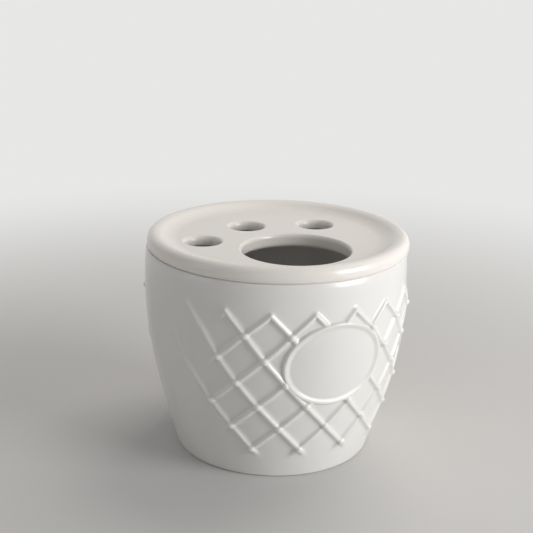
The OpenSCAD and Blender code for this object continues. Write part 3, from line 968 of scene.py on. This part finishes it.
# %% [markdown]
# ## Floor and light
# White ware needs a calm room. A large soft lamp on the right, little higher than the lid, draws the
# highlight on the shoulder and lets the wall darken to the left, which is what shows its roundness.
# A weak lamp on the left and one above keep the shadows open, and so does an even light from all
# round. The backdrop is brighter than that light: Light Path tells the rays that see it from those
# that carry its light to the holder, so a pale background doesn't wash the relief out.

# %% Floor
BACKDROP, FLOOR_COLOUR = (0.8, 0.8, 0.79), (0.62, 0.61, 0.6)
FLOOR_REACH, FADE_FROM, FADE_TO = 8.0, 0.12, 0.5      # metres from the holder


def seen_rays(tree):
    """1 for rays by which the backdrop is seen, straight, mirrored or through glass, and 0 for the rest."""
    path = tree.nodes.new("ShaderNodeLightPath")
    rays = Field(tree, path.outputs["Is Camera Ray"]).most(Field(tree, path.outputs["Is Glossy Ray"]))
    return rays.most(Field(tree, path.outputs["Is Transmission Ray"]))


def floor_material():
    """A pale floor that gives way, where it is seen far from the holder, to the even backdrop."""
    material, tree, shader = new_material("pale_floor")
    set_inputs(shader, {"Base Color": (*FLOOR_COLOUR, 1), "Roughness": 0.6})
    place = tree.nodes.new("ShaderNodeTexCoord").outputs["Object"]
    far = add_node(tree, "ShaderNodeVectorMath", {0: place}, operation="LENGTH")
    away = Field(tree, far.outputs["Value"]).ease(FADE_FROM, FADE_TO)
    backdrop = add_node(tree, "ShaderNodeEmission", {"Color": (*BACKDROP, 1)})
    mix = add_node(tree, "ShaderNodeMixShader", {0: seen_rays(tree) * away, 1: shader.outputs[0],
                                                 2: backdrop.outputs[0]})
    set_inputs(tree.nodes["Material Output"], {"Surface": mix.outputs[0]})
    return material


corners = [(x * FLOOR_REACH, y * FLOOR_REACH, 0) for x, y in ((-1, -1), (1, -1), (1, 1), (-1, 1))]
floor = new_piece("floor", corners, [[0, 1, 2, 3]])
floor.data.materials.append(floor_material())
print("floor:", [round(v, 1) for v in floor.dimensions], "m")

# %% Lamps and world
AIM = (0, 0, 0.05)
WORLD_LIGHT = 0.35      # how strongly the world lights the holder, where 1 is as bright as it is seen
VIEW_TURN = math.radians(-25.47)   # where the camera stands, round from the middle of the medallion


def from_camera(x, y, z):
    """A point given to the right of, beyond and above the cup as the camera sees it."""
    return (*turned_point(x, y, VIEW_TURN), z)


def softbox(name, at, size, power, colour=(1, 1, 1)):
    """A rectangular lamp that faces the holder. Sizes are metres and the power is watts."""
    lamp = bpy.data.lights.new(name, "AREA")
    lamp.shape, lamp.size, lamp.size_y = "RECTANGLE", size[0], size[1]
    lamp.energy, lamp.color = power, colour
    obj = new_object(name, lamp)
    obj.location = at
    obj.rotation_euler = (Vector(AIM) - Vector(at)).to_track_quat("-Z", "Y").to_euler()
    return obj


softbox("key", from_camera(0.65, -0.31, 0.2), (0.36, 0.5), 4.5)
softbox("fill", from_camera(-0.7, -0.3, 0.3), (0.3, 0.7), 0.5, (0.95, 0.97, 1.0))
top_lamp = softbox("top", from_camera(0.2, 0.3, 0.72), (0.5, 0.4), 2.2, (1.0, 0.96, 0.91))
top_lamp.visible_glossy = False      # it lights the lid without a second highlight on it

world = bpy.data.worlds.new("soft_room")
bpy.context.scene.world = world
world.use_nodes = True
strength = seen_rays(world.node_tree) * (1 - WORLD_LIGHT) + WORLD_LIGHT
set_inputs(world.node_tree.nodes["Background"], {"Color": (*BACKDROP, 1), "Strength": strength})

# %% [markdown]
# ## The camera
# The camera's place, aim and lens were found by matching the outline, the holes and the crossings
# of the lattice in a photograph 533 pixels square. It looks down at about twenty degrees and is
# tipped by less than one. The photograph was cropped off its middle, which the small shift repeats.

# %% Camera from the fit
PHOTO_SIZE, SENSOR = 533, 36      # pixels and mm across


def fitted_camera(distance, rise, roll, focal, aim_x, aim_y, centre_x, centre_y):
    """Distances in metres, angles in degrees, focal length and picture centre in pixels."""
    rise, aim_x, aim_y, roll = (math.radians(a) for a in (rise, aim_x, aim_y, roll))
    at = Vector((0, -distance * math.cos(rise), CUP_H / 2 + distance * math.sin(rise)))
    pitch = rise + aim_y
    ahead = Vector((math.sin(aim_x) * math.cos(pitch), math.cos(aim_x) * math.cos(pitch), -math.sin(pitch)))
    right = ahead.cross(Vector((0, 0, 1))).normalized()
    up = right.cross(ahead)
    right, up = right * math.cos(roll) + up * math.sin(roll), up * math.cos(roll) - right * math.sin(roll)
    turn = Matrix.Rotation(VIEW_TURN, 4, "Z")
    camera = bpy.data.cameras.new("camera")
    camera.sensor_width = SENSOR
    camera.lens = focal * SENSOR / PHOTO_SIZE
    camera.shift_x = (PHOTO_SIZE / 2 - centre_x) / PHOTO_SIZE
    camera.shift_y = (centre_y - PHOTO_SIZE / 2) / PHOTO_SIZE
    camera.clip_start, camera.clip_end = 0.01, 50
    obj = new_object("camera", camera)
    axes = Matrix((right, up, -ahead)).transposed().to_4x4()
    obj.matrix_world = turn @ Matrix.Translation(at) @ axes
    bpy.context.scene.camera = obj
    return obj


camera = fitted_camera(distance=0.4762, rise=21.42, roll=0.79, focal=1080.0,
                       aim_x=-1.96, aim_y=-2.46, centre_x=239.8, centre_y=293.2)
bpy.context.scene.view_settings.view_transform = "Standard"
print("lens mm:", round(camera.data.lens, 1), "shift:",
      [round(v, 3) for v in (camera.data.shift_x, camera.data.shift_y)])
